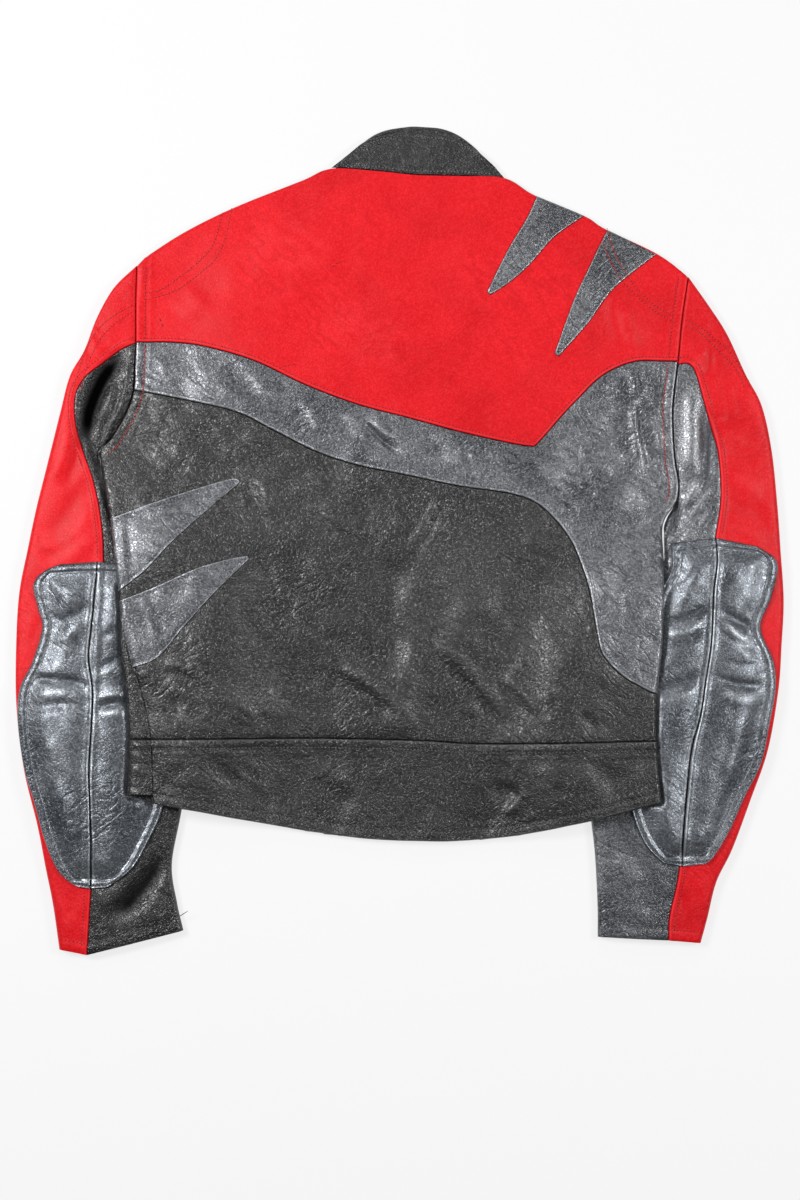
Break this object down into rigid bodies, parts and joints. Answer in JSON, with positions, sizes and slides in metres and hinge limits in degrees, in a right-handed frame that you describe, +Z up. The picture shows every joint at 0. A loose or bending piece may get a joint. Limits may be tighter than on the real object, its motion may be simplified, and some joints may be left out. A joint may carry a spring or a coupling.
{
  "type": "motorcycle jacket",
  "caption": "Leather motorcycle jacket laid flat with its back up, colour-blocked panels, pointed inserts, padded elbow patches and a stand collar.",
  "frame": {"origin": "centre of the laid jacket's box in plan, on the surface it lies on", "axes": "+Y from the cuffs towards the collar, +X towards the wearer's right arm, +Z up from the surface, out of the back of the jacket"},
  "size_m": [0.73, 0.7879, 0.0231],
  "materials": {
    "leather_red": "satin",
    "leather_grey": "satin with a pearly sheen",
    "leather_black": "satin",
    "leather_collar": "pebbled",
    "zip": "woven tape with moulded teeth"
  },
  "bodies": {
    "root": {"back_yoke": "leather_red", "back_band": "leather_grey", "back_lower": "leather_black", "back_waistband": "leather_black", "front_left": "leather_black", "front_right": "leather_black", "front_waistband_left": "leather_black", "front_waistband_right": "leather_black", "front_zip": "zip", "collar_back": "leather_collar", "collar_front": "leather_collar", "sleeve_left_outer": "leather_red", "sleeve_left_under": "leather_black", "sleeve_right_outer": "leather_red", "sleeve_right_under": "leather_grey", "elbow_left_outer": "leather_grey", "elbow_left_inner": "leather_grey", "elbow_right_outer": "leather_grey", "elbow_right_inner": "leather_grey", "dart_shoulder_inner": "leather_grey", "dart_shoulder_outer": "leather_grey", "dart_side_upper": "leather_grey", "dart_side_lower": "leather_grey"}
  },
  "joints": []
}
